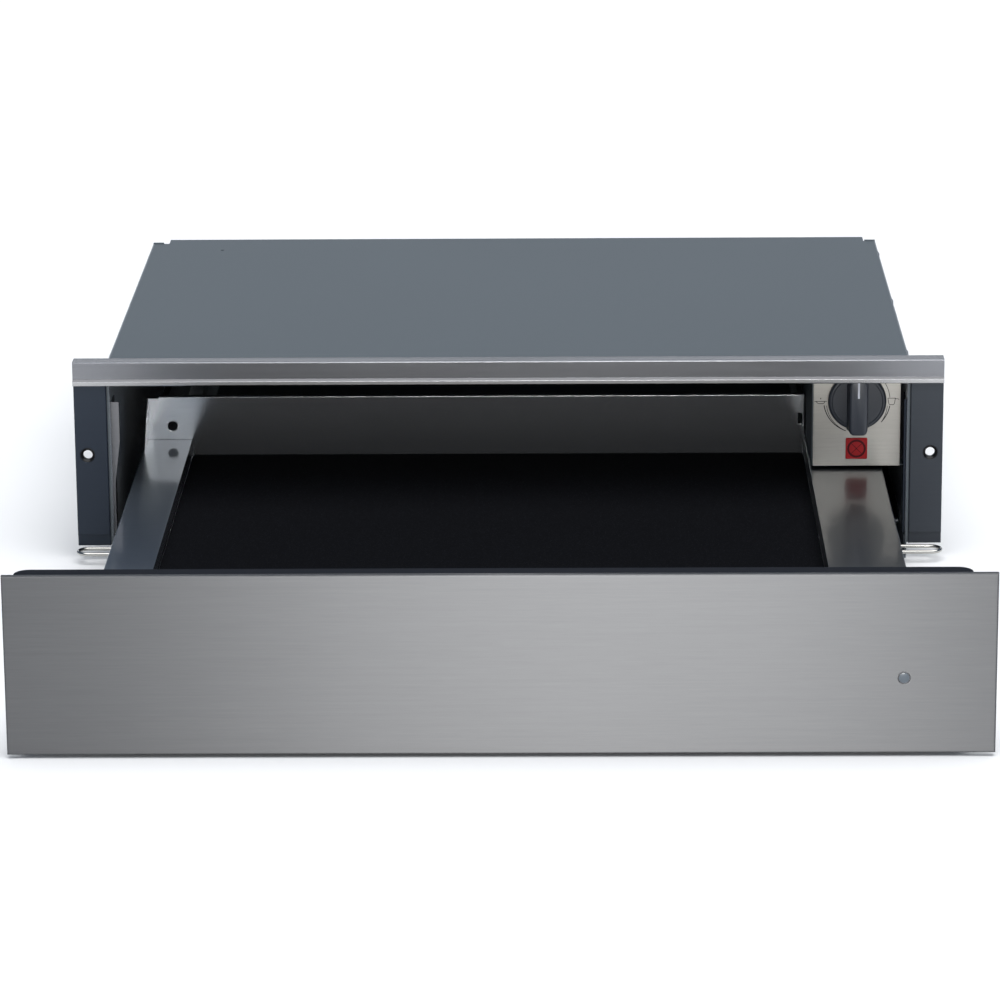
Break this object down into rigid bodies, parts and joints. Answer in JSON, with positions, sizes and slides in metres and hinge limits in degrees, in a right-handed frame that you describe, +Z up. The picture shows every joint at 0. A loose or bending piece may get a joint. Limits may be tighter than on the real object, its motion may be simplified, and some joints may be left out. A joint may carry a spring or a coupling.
{
  "type": "built in warming drawer",
  "caption": "Built-in warming drawer: low steel case with a full-width brushed front on slides, tray with anti-slip mat, rear corner thermostat knob and lamp.",
  "frame": {"origin": "on the niche floor (underside of the case), mid-width, in the plane that bears on the cabinet's front edge", "axes": "+X to the right seen from the front, +Y to the rear of the niche, +Z up"},
  "size_m": [0.596, 0.9475, 0.14],
  "materials": {
    "brushed_steel": "fine horizontal brushing",
    "plate_steel": "light warm brushed",
    "polished_steel": "bright finely brushed",
    "coated_steel": "grey-blue coated sheet, satin",
    "zinc_steel": "zinc plated",
    "black_metal": "semi-gloss black",
    "black_plastic": "moulded, fine grain",
    "liner_black": "satin blue-black",
    "mat_rubber": "matt, fine speckle",
    "chrome": "polished",
    "red_lens": "translucent red",
    "lens_grey": "clear grey-blue",
    "clear_acrylic": "clear",
    "white_print": "white inlay",
    "white_plastic": "moulded",
    "steel_dark": "dark oxide",
    "brass": "turned",
    "loom_sleeve": "matt sleeve"
  },
  "bodies": {
    "case": {"case_left_side": "coated_steel", "case_right_side": "coated_steel", "case_bottom": "coated_steel", "case_top": "coated_steel", "rear_step_wall": "coated_steel", "rear_step_deck": "coated_steel", "rear_panel": "coated_steel", "case_screws": "zinc_steel", "top_trim": "brushed_steel", "left_front_flange": "black_metal", "right_front_flange": "black_metal", "left_front_stiffener": "zinc_steel", "right_front_stiffener": "zinc_steel", "fixing_bushes": "black_metal", "front_rest_wire": "chrome", "wire_clips": "zinc_steel", "left_rail_bracket": "zinc_steel", "right_rail_bracket": "zinc_steel", "bracket_screws": "zinc_steel", "left_outer_rail": "zinc_steel", "right_outer_rail": "zinc_steel", "control_plate": "plate_steel", "component_box_side": "coated_steel", "component_box_floor": "coated_steel", "thermostat_body": "zinc_steel", "lamp_lens": "red_lens", "lamp_housing": "black_plastic", "fan_housing": "black_plastic", "fan_motor": "steel_dark", "motor_bracket": "zinc_steel", "heating_element": "steel_dark", "element_bracket": "zinc_steel", "thermal_cutout": "black_plastic", "terminal_block": "white_plastic", "wiring_harness": "loom_sleeve", "harness_clip": "white_plastic", "cable_gland": "black_plastic"},
    "drawer": {"drawer_front_panel": "brushed_steel", "drawer_front_liner": "liner_black", "indicator_lens": "lens_grey", "light_guide": "clear_acrylic", "left_side_channel": "polished_steel", "right_side_channel": "polished_steel", "tray_rear_wall": "polished_steel", "tray_floor": "zinc_steel", "anti_slip_mat": "mat_rubber", "drawer_screws": "zinc_steel", "left_inner_rail": "zinc_steel", "right_inner_rail": "zinc_steel"},
    "left_slide": {"left_middle_rail": "zinc_steel"},
    "right_slide": {"right_middle_rail": "zinc_steel"},
    "knob": {"thermostat_knob": "black_plastic", "knob_pointer": "white_print", "thermostat_spindle": "brass"},
    "fan": {"fan_impeller": "black_plastic", "fan_shaft": "steel_dark"}
  },
  "joints": [
    {"name": "drawer_slide", "type": "slide", "parent": "case", "child": "drawer", "axis": [0, 1, 0], "range_m": [0, 0.402]},
    {"name": "left_middle_slide", "type": "slide", "parent": "case", "child": "left_slide", "axis": [0, 1, 0], "range_m": [0, 0.201]},
    {"name": "right_middle_slide", "type": "slide", "parent": "case", "child": "right_slide", "axis": [0, 1, 0], "range_m": [0, 0.201]},
    {"name": "knob_turn", "type": "hinge", "parent": "case", "child": "knob", "pos_m": [0.24, 0.01, 0.1047], "axis": [0, 1, 0], "range_deg": [0, 300]},
    {"name": "fan_spin", "type": "hinge", "parent": "case", "child": "fan", "pos_m": [0.2412, 0.245, 0.0878], "axis": [0, 1, 0], "continuous": true}
  ],
  "couplings": [
    {"joint": "left_middle_slide", "follows": "drawer_slide", "ratio": 0.5},
    {"joint": "right_middle_slide", "follows": "drawer_slide", "ratio": 0.5}
  ]
}
